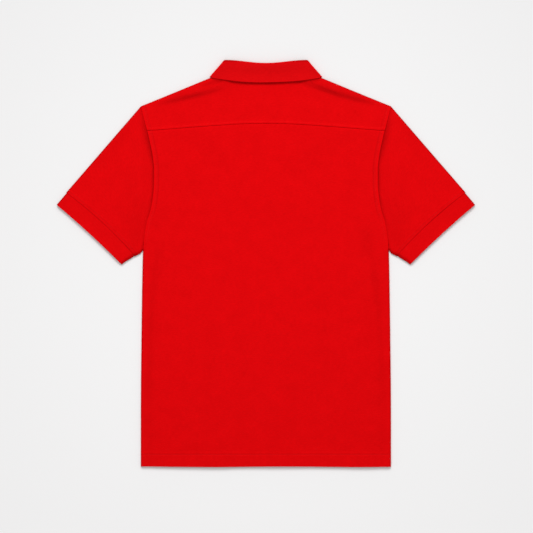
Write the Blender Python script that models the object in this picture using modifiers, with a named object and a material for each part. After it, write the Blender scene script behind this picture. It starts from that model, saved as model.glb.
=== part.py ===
"""A plain short-sleeved polo shirt, laid flat on its front with its back up.

Sizes are in millimetres and become metres when a mesh is made. x runs across the shirt from its
centre line, towards the wearer's right. up is the distance above the hem, towards the collar. z is
the height above the surface that the shirt lies on. Each cut piece is an open surface through rows
of points, which Solidify turns into a wall of cloth around that surface.
"""

import math
from collections import namedtuple
from functools import partial

import bmesh
import bpy
from mathutils import Vector

MM = 0.001
COLLECTION = "polo_shirt"

# Cloth
CLOTH = 1.2
HEM_CLOTH = 1.9
CUFF_CLOTH = 1.8
COLLAR_CLOTH = 1.6

# Clear space between pieces: at a plain seam, along the armhole, and where back meets front
SEAM_GAP = 0.3
ARMHOLE_GAP = 0.6
SIDE_GAP = 0.7

# Body, as it lies flat
LENGTH = 755.0
HEM_DEPTH = 23.0
ARMPIT_UP = 401.3
ARMPIT_ROUND = 14.0
SHOULDER_UP = 669.4
SHOULDER_HALF = 232.5
SHOULDER_SLOPE = 0.4065

Side = namedtuple("Side", "up half_width")
BODY_SIDE = (
    Side(0, 232.4),
    Side(120, 232.3),
    Side(213, 231.4),
    Side(302, 230.3),
    Side(401, 228.4),
    Side(426, 226.2),
    Side(455, 221.4),
    Side(484, 213.0),
    Side(525, 208.4),
    Side(552, 208.2),
    Side(570, 209.8),
    Side(610, 217.5),
    Side(653, 228.7),
    Side(669.4, 232.5),
)

# Yoke and neck
Seam = namedtuple("Seam", "x up")
YOKE_SEAM = (
    Seam(0, 637.5),
    Seam(30, 637.2),
    Seam(60, 635.9),
    Seam(111, 632.5),
    Seam(156, 629.2),
    Seam(212, 624.9),
)
FRONT_YOKE = 27.0
NECK_HALF = 78.0
NECK_CORNER_UP = SHOULDER_UP + (SHOULDER_HALF - NECK_HALF) * SHOULDER_SLOPE
BACK_NECK_DROP = 14.2
FRONT_NECK_DROP = 77.2
FRONT_NECK_CORNER = 73.7

# Placket and buttons
PLACKET_HALF = 16.0
PLACKET_LENGTH = 150.0
PLACKET_TOP_UP = NECK_CORNER_UP - FRONT_NECK_DROP
PLACKET_BOTTOM_UP = PLACKET_TOP_UP - PLACKET_LENGTH
BUTTON_RADIUS = 5.7
BUTTON_THICKNESS = 2.0
BUTTON_BEVEL = 0.45
BUTTON_SIDES = 18
SHARP_DEGREES = 35.0
BUTTON_COUNT = 3
FIRST_BUTTON_DROP = 13.0
BUTTON_PITCH = 50.0

# Sleeve and cuff band: corners as (x, up)
BAND_SEAM_TOP = Vector((371.0, 509.2))
BAND_SEAM_LOW = Vector((244.6, 393.4))
BAND_EDGE_TOP = Vector((388.6, 486.6))
BAND_EDGE_LOW = Vector((267.7, 375.3))
BAND_SEAM_BOW = 4.5
BAND_EDGE_BOW = 1.9
CUFF_INSET = 1.2

# Collar: half widths and places of its seam, fold and free edge
COLLAR_FOLD_HALF = 81.0
COLLAR_FOLD_DIP = 5.6
COLLAR_CORNER_ROUND = 2.5
COLLAR_EDGE_HALF = 105.0
COLLAR_EDGE_UP = 712.7
COLLAR_EDGE_CORNER_UP = 723.2
COLLAR_EDGE_RISE = 9.0
COLLAR_POINT = Vector((50.0, 628.0))
COLLAR_FRONT_FOLD_DROP = 72.0
COLLAR_BEND = 1.1
COLLAR_LOFT = 0.5

# How round the collar turns at the sides of the neck, and how far its rings stay clear of the
# neckline and of each other
INNER_TURN = 1.6
OUTER_TURN = 3.7
COLLAR_CENTRE_GAP = 1.0
COLLAR_SEAM_GAP = 0.45
COLLAR_CORNER_GAP = 0.6
COLLAR_SIDE_GAP = 0.4
COLLAR_SEAM_IN = 3.0
COLLAR_SEAM_SHORT = 0.9
COLLAR_SEAM_TOP = 0.2
COLLAR_FOLD_IN = 1.6
COLLAR_FOLD_SHORT = 0.5
COLLAR_CORNER_IN = 4.5

# Heights of the layers, at the middle of the cloth
FRONT_Z = CLOTH / 2
BACK_Z = 4.0
FRONT_LIFT = 2.4
BACK_LIFT = 2.1
FRONT_FADE = 40.0
BACK_FADE = 80.0
LIFT_REACH = 110.0
LIFT_WIDENS_UP = 540.0
LIFT_WIDENS_OVER = 100.0
SEAM_RAISE = 0.5
SEAM_BAND = 6.0
YOKE_BAND = 5.0
BAND_FADE = 4.0
SLEEVE_TROUGH = 0.5

# Where the points of a surface lie, as distances inside a fold or a seam
ROLL = 5.0
ROLL_STEPS = (0.0, 0.3, 1.2, 2.8, ROLL)
RIM_STEP = 0.008
EDGE_STEPS = (0.0, RIM_STEP, *ROLL_STEPS[1:], 12.0, 21.0, 33.0)
SHOULDER_SPANS = 3
BACK_NECK_SPANS = 4
FRONT_NECK_SPANS = 5
SLEEVE_SPANS = 11
SETTLE_ROUNDS = 5

# Soft folds pressed into the upper layer, each along a line from start to end
Fold = namedtuple("Fold", "start end depth half_width")
FOLDS = (
    Fold(Vector((-209, 10)), Vector((-207, 400)), -0.8, 9.0),
    Fold(Vector((209, 10)), Vector((207, 400)), -0.8, 9.0),
    Fold(Vector((-70, 706)), Vector((-205, 672)), -0.7, 7.0),
    Fold(Vector((70, 712)), Vector((205, 672)), -0.7, 7.0),
    Fold(Vector((-206, 446)), Vector((-160, 392)), -0.6, 10.0),
    Fold(Vector((156, 449)), Vector((203, 330)), -0.7, 11.0),
    Fold(Vector((-238, 452)), Vector((-300, 492)), -0.6, 11.0),
    Fold(Vector((238, 452)), Vector((300, 492)), -0.6, 11.0),
)

CLOTH_RED = (0.745, 0.0024, 0.0037)
COLLAR_RED = (0.690, 0.0026, 0.0042)
BUTTON_RED = (0.560, 0.0030, 0.0045)
CLOTH_ROUGHNESS = 0.92
BUTTON_ROUGHNESS = 0.35


# ---------------------------------------------------------------- curves and heights


def ease(share):
    """A smooth step from 0 to 1."""
    share = min(max(share, 0.0), 1.0)
    return share * share * (3 - 2 * share)


def knot_slopes(points):
    """The slope at each (place, value) pair that keeps a curve through them from overshooting."""
    runs = [(b[1] - a[1]) / (b[0] - a[0]) for a, b in zip(points, points[1:])]
    inner = [2 * p * q / (p + q) if p * q > 0 else 0.0 for p, q in zip(runs, runs[1:])]
    return [runs[0], *inner, runs[-1]]


def smooth_through(points, place):
    """The value at a place on a smooth curve through (place, value) pairs."""
    place = min(max(place, points[0][0]), points[-1][0])
    slopes = knot_slopes(points)
    first = max(i for i in range(len(points) - 1) if points[i][0] <= place)
    (start, low), (end, high) = points[first], points[first + 1]
    span = end - start
    share = (place - start) / span
    bend_in = share * (1 - share) * (1 - share) * span * slopes[first]
    bend_out = share * share * (share - 1) * span * slopes[first + 1]
    return low + (high - low) * ease(share) + bend_in + bend_out


def body_edge(up):
    """Half the body's width at the middle of its cloth: the sides, and the armholes above them."""
    return smooth_through(BODY_SIDE, up) - CLOTH / 2


def shoulder_up(x):
    return SHOULDER_UP + (SHOULDER_HALF - abs(x)) * SHOULDER_SLOPE


def yoke_seam_up(x):
    return smooth_through(YOKE_SEAM, abs(x))


def back_neck_up(x):
    return NECK_CORNER_UP - BACK_NECK_DROP * (1 - (x / NECK_HALF) ** 2)


def front_neck_up(x):
    share = min(abs(x) / NECK_HALF, 1.0)
    return NECK_CORNER_UP - FRONT_NECK_DROP * math.sqrt(1 - share * share)


def front_neck_half(up):
    """Half the front neck opening's width at this height."""
    share = min(max((NECK_CORNER_UP - up) / FRONT_NECK_DROP, 0.0), 1.0)
    return NECK_HALF * math.sqrt(1 - share * share)


def lifted(x, up, fade):
    """1 over the placket and the collar's points, which hold the cloth up, and 0 well clear of them."""
    widening = ease((up - LIFT_WIDENS_UP) / LIFT_WIDENS_OVER)
    reach = PLACKET_HALF + 4 + (LIFT_REACH - PLACKET_HALF) * widening
    across = ease((reach + fade - abs(x)) / fade)
    along = ease((up - PLACKET_BOTTOM_UP) / fade + 1)
    return across * along


def fold_depth(x, up):
    """How far the soft folds push the upper layer at this place."""
    total = 0.0
    place = Vector((x, up))
    for fold in FOLDS:
        run = fold.end - fold.start
        share = (place - fold.start).dot(run) / run.length_squared
        off = (place - fold.start - run * share).length
        ends = ease(4 * share) * ease(4 * (1 - share))
        total += fold.depth * ends * math.exp(-((off / fold.half_width) ** 2))
    return total


def hem_rise(up):
    """The hem's second layer lifts the middle of its cloth by half the added thickness."""
    return (HEM_CLOTH - CLOTH) / 2 if up < HEM_DEPTH else 0.0


def front_level(x, up):
    return FRONT_Z + FRONT_LIFT * lifted(x, up, FRONT_FADE) + hem_rise(up)


def back_level(x, up):
    return BACK_Z + BACK_LIFT * lifted(x, up, BACK_FADE) + fold_depth(x, up) + hem_rise(up)


def band_raise(distance, width):
    """A seam allowance folded under the cloth lifts a band of this width along the seam."""
    return SEAM_RAISE * (1 - ease((distance - width) / BAND_FADE))


def roll(distance):
    """0 at the fold on a layer's edge, and 1 where the layer has come level, ROLL inside it."""
    short = 1 - min(max(distance / ROLL, 0.0), 1.0)
    return math.sqrt(1 - short * short)


def layer_z(upper, lower, rise, on_top):
    """Where a layer lies between the side seam and its own level; the two stay a gap apart."""
    middle = (upper + lower) / 2
    rim = middle + (SIDE_GAP / 2 if on_top else -SIDE_GAP / 2)
    return rim + ((upper if on_top else lower) - rim) * rise


def at(x, up, z):
    return Vector((x, up - LENGTH / 2, z))


# ---------------------------------------------------------------- making pieces


def make_material(name, colour, roughness):
    material = bpy.data.materials.new(name)
    material.use_nodes = True
    shader = material.node_tree.nodes["Principled BSDF"]
    shader.inputs["Base Color"].default_value = (*colour, 1.0)
    shader.inputs["Roughness"].default_value = roughness
    shader.inputs["Metallic"].default_value = 0.0
    return material


def finish_piece(piece, material, collection):
    """Names the piece's material and moves the piece into the shirt's collection."""
    piece.data.materials.clear()
    piece.data.materials.append(material)
    for other in list(piece.users_collection):
        other.objects.unlink(piece)
    collection.objects.link(piece)
    return piece


def surface_mesh(name, rows, ring, keep):
    """A mesh of four-sided faces through rows of points; ring joins each row's ends."""
    build = bmesh.new()
    grid = [[build.verts.new(point * MM) for point in row] for row in rows]
    count = len(rows[0])
    for i in range(len(rows) - 1):
        for j in range(count if ring else count - 1):
            if keep is None or keep(i, j):
                after = (j + 1) % count
                corners = (grid[i][j], grid[i][after], grid[i + 1][after], grid[i + 1][j])
                build.faces.new(corners)
    unused = [vertex for vertex in build.verts if not vertex.link_faces]
    bmesh.ops.delete(build, geom=unused, context="VERTS")
    mesh = bpy.data.meshes.new(name)
    build.to_mesh(mesh)
    build.free()
    mesh.shade_smooth()
    return mesh


def sew(name, rows, thickness, material, collection, ring=False, keep=None, hem=False):
    """A cut piece: an open surface, or a tube, with a wall of cloth around it."""
    piece = bpy.data.objects.new(name, surface_mesh(name, rows, ring, keep))
    finish_piece(piece, material, collection)
    wall = piece.modifiers.new("Wall of cloth", "SOLIDIFY")
    wall.thickness = thickness * MM
    wall.offset = 0.0
    if hem:
        group = piece.vertex_groups.new(name="cloth")
        for vertex in piece.data.vertices:
            up = vertex.co.y / MM + LENGTH / 2
            share = 1.0 if up < HEM_DEPTH else CLOTH / thickness
            group.add([vertex.index], share, "REPLACE")
        wall.vertex_group = group.name
    return piece


def spread(start, end, spans):
    """Even places from start to end, both included."""
    return [start + (end - start) * k / spans for k in range(spans + 1)]


def columns(up, inner):
    """The x places of a row across the body; inner holds them from the neck's corner to the centre."""
    edge = body_edge(up)
    half = [edge - step for step in EDGE_STEPS]
    half += spread(half[-1], inner[0], SHOULDER_SPANS)[1:-1] + inner
    return half + [-x for x in reversed(half[:-1])]


def crossings(row_up, inner_at):
    """(x, up) where each column crosses a row, when columns and rows bend with each other."""
    row = []
    for column in range(len(columns(0.0, inner_at(0.0)))):
        up = row_up(0.0)
        for _ in range(SETTLE_ROUNDS):
            x = columns(up, inner_at(up))[column]
            up = row_up(x)
        row.append((x, up))
    return row


def body_point(x, up, on_top):
    """A point of the back or front, rolled over at the sides and level along the armholes."""
    upper, lower = back_level(x, up), front_level(x, up)
    inside = body_edge(up) - abs(x)
    if on_top and up > ARMPIT_UP:
        upper += band_raise(inside, SEAM_BAND) * ease((up - ARMPIT_UP) / ROLL)
    if on_top and up < yoke_seam_up(x):
        upper += band_raise(yoke_seam_up(x) - up, 0.0)
    rise = roll(inside + max(up - ARMPIT_UP, 0.0))
    return at(x, up, layer_z(upper, lower, rise, on_top))


# ---------------------------------------------------------------- body


# How far up the rows of points lie across each panel
HEM_ROWS = (0, HEM_DEPTH - 0.6, HEM_DEPTH + 1.6)
ARMPIT_ROWS = (ARMPIT_UP, ARMPIT_UP + 1.2, ARMPIT_UP + 4.7, 426, 446, 466, 486)
BACK_ROWS = (*HEM_ROWS, 90, 180, 270, 350, 392, *ARMPIT_ROWS, 508, 532, 558, 585, 612, 632, YOKE_SEAM[0].up)
ARCH_FROM_UP = 540.0


def neck_columns(up):
    return spread(NECK_HALF, 0.0, BACK_NECK_SPANS)


def back_row_up(level, x):
    """Rows near the yoke seam take up its arch."""
    middle = YOKE_SEAM[0].up
    arch = ease((level - ARCH_FROM_UP) / (middle - ARCH_FROM_UP))
    return level + (yoke_seam_up(x) - middle) * arch


def make_back(material, collection):
    rows = []
    for level in BACK_ROWS:
        row = crossings(partial(back_row_up, level), neck_columns)
        rows.append([body_point(x, up, True) for x, up in row])
    return sew("back", rows, HEM_CLOTH, material, collection, hem=True)


SLIT_BOTTOM_UP = PLACKET_BOTTOM_UP - SEAM_GAP
FRONT_ROWS = (*HEM_ROWS, 130, 250, 350, *ARMPIT_ROWS, SLIT_BOTTOM_UP, 532, 560, 588)
FRONT_TOP_SHARES = (0.35, 0.7, 1.0)


def slit_columns(up):
    return spread(FRONT_NECK_CORNER, PLACKET_HALF + SEAM_GAP, FRONT_NECK_SPANS) + [0.0]


def front_top_up(x):
    """The front's top edge: the neckline, then the seam that joins it to the yoke."""
    if abs(x) < FRONT_NECK_CORNER:
        return front_neck_up(max(abs(x), PLACKET_HALF))
    return shoulder_up(x) - FRONT_YOKE


def level_row_up(level, x):
    return level


def front_row_up(share, x):
    """Rows between the last level one and the front's top edge."""
    base = FRONT_ROWS[-1]
    return base + (front_top_up(x) - base) * share


def make_front(material, collection):
    rows_up = [partial(level_row_up, level) for level in FRONT_ROWS]
    rows_up += [partial(front_row_up, share) for share in FRONT_TOP_SHARES]
    rows = []
    for row_up in rows_up:
        row = crossings(row_up, slit_columns)
        rows.append([body_point(x, up, False) for x, up in row])
    slit_row = FRONT_ROWS.index(SLIT_BOTTOM_UP)
    centre = len(rows[0]) // 2

    def keep(i, j):
        return i < slit_row or j not in (centre - 1, centre)

    return sew("front", rows, HEM_CLOTH, material, collection, keep=keep, hem=True)


YOKE_SEAM_STEPS = (0.0, 5.0, 9.0)
YOKE_SHARES = (0.35, 0.7)
YOKE_TOP_STEPS = (12.0, 5.0, 2.8, 1.2, 0.3, 0.0)
YOKE_FRONT_STEPS = (0.3, 1.2, 2.8, 5.0, 14.0, FRONT_YOKE - CLOTH / 2 - SEAM_GAP)


def yoke_top_up(x):
    """The fold over the shoulder, or the back neckline between the shoulders."""
    if abs(x) < NECK_HALF:
        return back_neck_up(x)
    return shoulder_up(x) - CLOTH / 2


def above_seam_up(step, x):
    return yoke_seam_up(x) + SEAM_GAP + step


def across_yoke_up(share, x):
    low = above_seam_up(0.0, x)
    return low + (yoke_top_up(x) - low) * share


def below_top_up(step, x):
    return yoke_top_up(x) - step


def over_shoulder_up(step, x):
    return shoulder_up(x) - CLOTH / 2 - step


def opening_columns(up):
    return spread(front_neck_half(up), 0.0, BACK_NECK_SPANS)


def yoke_point(x, up, on_top):
    upper, lower = back_level(x, up), front_level(x, up)
    if on_top:
        upper += band_raise(body_edge(up) - abs(x), SEAM_BAND)
        upper += band_raise(up - yoke_seam_up(x), YOKE_BAND)
    level_there = on_top and abs(x) < NECK_HALF - RIM_STEP
    rise = 1.0 if level_there else roll(yoke_top_up(x) - up)
    middle = (upper + lower) / 2
    return at(x, up, middle + ((upper if on_top else lower) - middle) * rise)


def make_yoke(material, collection):
    rows_up = [partial(above_seam_up, step) for step in YOKE_SEAM_STEPS]
    rows_up += [partial(across_yoke_up, share) for share in YOKE_SHARES]
    rows_up += [partial(below_top_up, step) for step in YOKE_TOP_STEPS]
    rows = []
    for row_up in rows_up:
        row = crossings(row_up, neck_columns)
        rows.append([yoke_point(x, up, True) for x, up in row])
    for step in YOKE_FRONT_STEPS:
        row = crossings(partial(over_shoulder_up, step), opening_columns)
        rows.append([yoke_point(x, up, False) for x, up in row])
    last_back_row = len(rows_up) - 1
    neck_column = len(EDGE_STEPS) + SHOULDER_SPANS - 1
    count = len(rows[0])

    def keep(i, j):
        in_neck = neck_column <= j < count - 1 - neck_column
        return i < last_back_row or not in_neck

    return sew("yoke", rows, CLOTH, material, collection, keep=keep)


# ---------------------------------------------------------------- sleeves and cuffs


def bowed(start, end, share, bow):
    """A point on a shallow arc between two corners, bowed towards the body."""
    run = end - start
    inward = Vector((run.y, -run.x)).normalized()
    return start + run * share + inward * (4 * bow * share * (1 - share))


def armhole(share):
    """A point along the sleeve's side of the armhole, from the shoulder to the armpit."""
    top = SHOULDER_UP - CLOTH / 2
    up = top + (ARMPIT_UP - top) * share
    round_the_side = CLOTH / 2 * (1 - ease((up - ARMPIT_UP) / ARMPIT_ROUND))
    return Vector((body_edge(up) + ARMHOLE_GAP + round_the_side, up))


def band_seam(share):
    return bowed(BAND_SEAM_TOP, BAND_SEAM_LOW, share, BAND_SEAM_BOW)


def band_edge(share):
    return bowed(BAND_EDGE_TOP, BAND_EDGE_LOW, share, BAND_EDGE_BOW)


def across_tube(length):
    """(place along the section, distance to the nearer fold) from its top fold to its lower fold."""
    inner = length - 2 * ROLL
    places = list(ROLL_STEPS) + [ROLL + inner * k / SLEEVE_SPANS for k in range(1, SLEEVE_SPANS)]
    places += [length - step for step in reversed(ROLL_STEPS)]
    return [(place / length, min(place, length - place)) for place in places]


def tube_row(side, section, level, inset):
    """A ring round a flattened tube: its upper layer, then its lower one back to the first fold."""
    start, end = section(0.0), section(1.0)
    length = (end - start).length
    run = (end - start) / length
    upper_half, lower_half = [], []
    for share, distance in across_tube(length):
        place = section(share)
        place = place + run * inset * (1 - 2 * share)
        upper, lower = level(place.x, place.y)
        middle = (upper + lower) / 2
        rise = roll(distance)
        upper_half.append(at(side * place.x, place.y, middle + (upper - middle) * rise))
        lower_half.append(at(side * place.x, place.y, middle + (lower - middle) * rise))
    return upper_half + lower_half[-2:0:-1]


SLEEVE_ROW_SHARES = (0.0, 0.025, 0.07, 0.2, 0.4, 0.6, 0.8, 1.0)


def sleeve_section(share, across):
    return armhole(across).lerp(band_seam(across), share)


def make_sleeve(name, side, material, collection):
    def level(x, up):
        outside = x - body_edge(up)
        trough = SLEEVE_TROUGH * math.exp(-((outside / SEAM_BAND) ** 2))
        return BACK_Z + fold_depth(side * x, up) - trough, FRONT_Z

    short = 1 - SEAM_GAP / (BAND_SEAM_TOP - armhole(0.0)).length
    sections = [partial(sleeve_section, share * short) for share in SLEEVE_ROW_SHARES]
    rows = [tube_row(side, section, level, CLOTH / 2) for section in sections]
    return sew(name, rows, CLOTH, material, collection, ring=True)


CUFF_ROW_SHARES = (0.0, 0.5, 1.0)


def cuff_section(share, across):
    return band_seam(across).lerp(band_edge(across), share)


def make_cuff(name, side, material, collection):
    def level(x, up):
        return BACK_Z + (CUFF_CLOTH - CLOTH) / 2, CUFF_CLOTH / 2

    rows = []
    for share in CUFF_ROW_SHARES:
        inset = CUFF_CLOTH / 2 + CUFF_INSET * (1 - share)
        rows.append(tube_row(side, partial(cuff_section, share), level, inset))
    return sew(name, rows, CUFF_CLOTH, material, collection, ring=True)


# ---------------------------------------------------------------- collar


Ring = namedtuple("Ring", "half turn back_z front_z back_up corner_up front_place")
FRONT_ANGLES = (0, 12, 24, 36, 48, 60, 72, 84)
TURN_ANGLES = (150, 120, 90, 60, 30)
BACK_SHARES = (1.0, 0.83, 0.66, 0.5, 0.33, 0.16, 0.0)


def collar_rings():
    """The collar's seam, the two sides of its fold, and its free edge, as rings round the neck."""
    neck_back_z = BACK_Z + BACK_LIFT
    neck_front_z = FRONT_Z + FRONT_LIFT
    leaf_z = COLLAR_CLOTH / 2
    fall_z = neck_back_z + 2 * COLLAR_BEND
    edge_z = neck_back_z + CLOTH / 2 + SEAM_GAP + COLLAR_CLOTH / 2
    fold_up = LENGTH - COLLAR_BEND - COLLAR_CLOTH / 2
    inner_half = COLLAR_FOLD_HALF - COLLAR_CLOTH / 2 - 2 * COLLAR_BEND

    def front_arc(half, drop, top):
        def place(angle):
            x = COLLAR_CENTRE_GAP + (half - COLLAR_CENTRE_GAP) * math.sin(angle)
            return Vector((x, top - drop * math.cos(angle)))

        return place

    def seam_back(share):
        return back_neck_up(share * NECK_HALF) + COLLAR_SEAM_GAP

    def fold_back(share):
        return fold_up - COLLAR_FOLD_DIP * (0.5 + 0.5 * math.cos(math.pi * share))

    def edge_back(share):
        return COLLAR_EDGE_UP + COLLAR_EDGE_RISE * share * share

    def leaf_edge(angle):
        share = angle / math.radians(90)
        corner = Vector((COLLAR_EDGE_HALF - COLLAR_CORNER_IN, COLLAR_EDGE_UP + COLLAR_EDGE_RISE))
        return COLLAR_POINT.lerp(corner, share)

    seam_drop = FRONT_NECK_DROP - COLLAR_SEAM_SHORT
    seam_front = front_arc(NECK_HALF - COLLAR_SEAM_IN, seam_drop, NECK_CORNER_UP + COLLAR_SEAM_TOP)
    fold_top = fold_up - COLLAR_FOLD_SHORT
    fold_front = front_arc(inner_half - COLLAR_FOLD_IN, COLLAR_FRONT_FOLD_DROP, fold_top)
    outer_half = COLLAR_FOLD_HALF - COLLAR_CLOTH / 2
    edge_half = COLLAR_EDGE_HALF - COLLAR_CLOTH / 2
    seam_half = NECK_HALF - COLLAR_SIDE_GAP
    seam_corner = NECK_CORNER_UP + COLLAR_CORNER_GAP
    return (
        Ring(seam_half, INNER_TURN, neck_back_z, neck_front_z, seam_back, seam_corner, seam_front),
        Ring(inner_half, INNER_TURN, neck_back_z, neck_front_z, fold_back, fold_up, fold_front),
        Ring(outer_half, OUTER_TURN, fall_z, leaf_z, fold_back, fold_up, fold_front),
        Ring(edge_half, OUTER_TURN, edge_z, leaf_z, edge_back, COLLAR_EDGE_CORNER_UP, leaf_edge),
    )


def ring_front(ring, degrees):
    place = ring.front_place(math.radians(degrees))
    return at(place.x, place.y, ring.front_z)


def ring_turn(ring, degrees, rounding):
    """Round the side of the neck, from the front layer at 180 degrees to the back layer at 0."""
    angle = math.radians(degrees)
    x = ring.half - ring.turn * (1 - math.sin(angle))
    middle = (ring.back_z + ring.front_z) / 2
    past = max(degrees - 90, 0) / 90
    up = ring.corner_up - rounding * (math.sin(angle) if degrees < 90 else 1 + past)
    return at(x, up, middle + (ring.back_z - middle) * math.cos(angle))


def ring_back(ring, share):
    x = (ring.half - ring.turn) * share
    return at(x, ring.back_up(share), ring.back_z)


def collar_section(seam, inner, outer, edge, loft):
    """Up the stand, over the fold and down the fall."""
    away = (inner - seam).normalized()
    centre, half = (inner + outer) / 2, (outer - inner) / 2
    points = [seam, seam.lerp(inner, 0.5), inner]
    for degrees in (45, 90, 135):
        angle = math.radians(degrees)
        points.append(centre - half * math.cos(angle) + away * half.length * math.sin(angle))
    points += [outer]
    for share in (0.3, 0.65):
        swell = Vector((0, 0, loft * math.sin(math.pi * share)))
        points.append(outer.lerp(edge, share) + swell)
    return points + [edge]


def make_collar(material, collection):
    rings = collar_rings()
    rounding = (0.0, COLLAR_CORNER_ROUND, COLLAR_CORNER_ROUND, 0.0)
    half = []
    for degrees in FRONT_ANGLES:
        half.append(collar_section(*[ring_front(ring, degrees) for ring in rings], 0.0))
    for degrees in TURN_ANGLES:
        corners = [ring_turn(ring, degrees, drop) for ring, drop in zip(rings, rounding)]
        half.append(collar_section(*corners, 0.0))
    for share in BACK_SHARES:
        half.append(collar_section(*[ring_back(ring, share) for ring in rings], COLLAR_LOFT))
    mirrored = [[Vector((-p.x, p.y, p.z)) for p in row] for row in reversed(half[:-1])]
    return sew("collar", half + mirrored, COLLAR_CLOTH, material, collection)


# ---------------------------------------------------------------- placket and buttons


def make_placket(name, middle_z, material, collection):
    """A strip of cloth the length of the front opening."""
    length = PLACKET_LENGTH - 2 * SEAM_GAP
    centre_up = PLACKET_BOTTOM_UP + PLACKET_LENGTH / 2
    bpy.ops.mesh.primitive_cube_add(size=1, location=at(0, centre_up, middle_z) * MM)
    strip = bpy.context.object
    strip.name = name
    strip.scale = (2 * PLACKET_HALF * MM, length * MM, CLOTH * MM)
    bpy.ops.object.transform_apply(location=False, rotation=False, scale=True)
    return finish_piece(strip, material, collection)


def make_button(name, up, material, collection):
    bpy.ops.mesh.primitive_cylinder_add(
        vertices=BUTTON_SIDES,
        radius=BUTTON_RADIUS * MM,
        depth=BUTTON_THICKNESS * MM,
        location=at(0, up, BUTTON_THICKNESS / 2) * MM,
    )
    button = bpy.context.object
    button.name = name
    bevel = button.modifiers.new("Rounded rim", "BEVEL")
    bevel.width = BUTTON_BEVEL * MM
    bevel.segments = 1
    button.data.shade_smooth()
    button.data.set_sharp_from_angle(angle=math.radians(SHARP_DEGREES))
    return finish_piece(button, material, collection)


# ---------------------------------------------------------------- the shirt


def clear_scene():
    for thing in list(bpy.data.objects):
        bpy.data.objects.remove(thing, do_unlink=True)


def make_shirt():
    clear_scene()
    collection = bpy.data.collections.new(COLLECTION)
    bpy.context.scene.collection.children.link(collection)
    cloth = make_material("cloth", CLOTH_RED, CLOTH_ROUGHNESS)
    collar_knit = make_material("collar_knit", COLLAR_RED, CLOTH_ROUGHNESS)
    button_plastic = make_material("button_plastic", BUTTON_RED, BUTTON_ROUGHNESS)

    make_back(cloth, collection)
    make_yoke(cloth, collection)
    make_front(cloth, collection)
    for name, side in (("left", -1), ("right", 1)):
        make_sleeve("sleeve_" + name, side, cloth, collection)
        make_cuff("cuff_" + name, side, cloth, collection)
    make_collar(collar_knit, collection)

    facing_z = FRONT_Z + FRONT_LIFT
    make_placket("placket_upper", facing_z, cloth, collection)
    make_placket("placket_lower", facing_z + CLOTH + SEAM_GAP, cloth, collection)
    for number in range(BUTTON_COUNT):
        up = PLACKET_TOP_UP - FIRST_BUTTON_DROP - number * BUTTON_PITCH
        make_button(f"button_{number + 1}", up, button_plastic, collection)


make_shirt()
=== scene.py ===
import math
from collections import namedtuple
from functools import partial

import bpy
import numpy as np
from mathutils import Matrix, Vector


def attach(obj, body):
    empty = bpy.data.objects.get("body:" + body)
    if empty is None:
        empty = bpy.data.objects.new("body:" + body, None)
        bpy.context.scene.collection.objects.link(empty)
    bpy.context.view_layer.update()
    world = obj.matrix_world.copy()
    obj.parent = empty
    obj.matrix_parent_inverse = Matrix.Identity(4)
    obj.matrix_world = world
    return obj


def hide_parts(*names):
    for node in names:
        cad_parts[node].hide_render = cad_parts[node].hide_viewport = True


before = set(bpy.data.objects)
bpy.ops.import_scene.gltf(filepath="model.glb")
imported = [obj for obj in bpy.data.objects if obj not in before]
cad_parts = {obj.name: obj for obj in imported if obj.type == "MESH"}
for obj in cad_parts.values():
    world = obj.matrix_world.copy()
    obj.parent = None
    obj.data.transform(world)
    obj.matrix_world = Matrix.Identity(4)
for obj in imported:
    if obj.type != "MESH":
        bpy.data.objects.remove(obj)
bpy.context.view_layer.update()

# A plain red polo shirt laid flat on its front, back up. Sizes are in millimetres. x runs across
# the shirt from its centre line, towards the wearer's right. up is the distance above the hem. z
# is the height above the floor. Each piece is a thin shell on the form of the node it stands for.

MM = 0.001

# ---- sizes

CLOTH = 0.9
CUFF_CLOTH = 1.5
COLLAR_CLOTH = 1.6
LENGTH = 755.0

ARMPIT_UP = 401.3
ARMPIT_ROUND = 14.0
ARMHOLE_GAP = 0.6
SIDE_GAP = 0.5
SHOULDER_UP = 669.4
SHOULDER_HALF = 232.5
SHOULDER_SLOPE = 0.4065

# The body's side, as (up, half width): below the sleeve, beside it, and out to the shoulder's point
SIDE_LOW = ((0, 232.4), (120, 232.3), (213, 231.4), (302, 230.3), (401, 228.4), (426, 226.2))
SIDE_MIDDLE = ((455, 221.4), (484, 213), (525, 208.4), (552, 208.2), (570, 209.8))
SIDE_HIGH = ((610, 217.5), (653, 228.7), (SHOULDER_UP, SHOULDER_HALF))
BODY_SIDE = SIDE_LOW + SIDE_MIDDLE + SIDE_HIGH

YOKE_SEAM_UP = 637.5
YOKE_SEAM = ((0, YOKE_SEAM_UP), (30, 637.2), (60, 635.9), (111, 632.5), (156, 629.2), (212, 624.9))
FRONT_YOKE = 27.0
NECK_HALF = 78.0
NECK_CORNER_UP = SHOULDER_UP + (SHOULDER_HALF - NECK_HALF) * SHOULDER_SLOPE
BACK_NECK_DROP = 14.2
FRONT_NECK_DROP = 77.2
FRONT_NECK_CORNER = 73.7

PLACKET_HALF = 16.0
SLIT_HALF = PLACKET_HALF + 0.3
PLACKET_LENGTH = 150.0
PLACKET_TOP_UP = NECK_CORNER_UP - FRONT_NECK_DROP
PLACKET_BOTTOM_UP = PLACKET_TOP_UP - PLACKET_LENGTH

BAND_SEAM_TOP = np.array((371.0, 509.2))
BAND_SEAM_LOW = np.array((244.6, 393.4))
BAND_EDGE_TOP = np.array((388.6, 486.6))
BAND_EDGE_LOW = np.array((267.7, 375.3))
BAND_SEAM_BOW = 4.5
BAND_EDGE_BOW = 1.9
CUFF_DEPTH = 28.9
CUFF_INSET = 1.2

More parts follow.
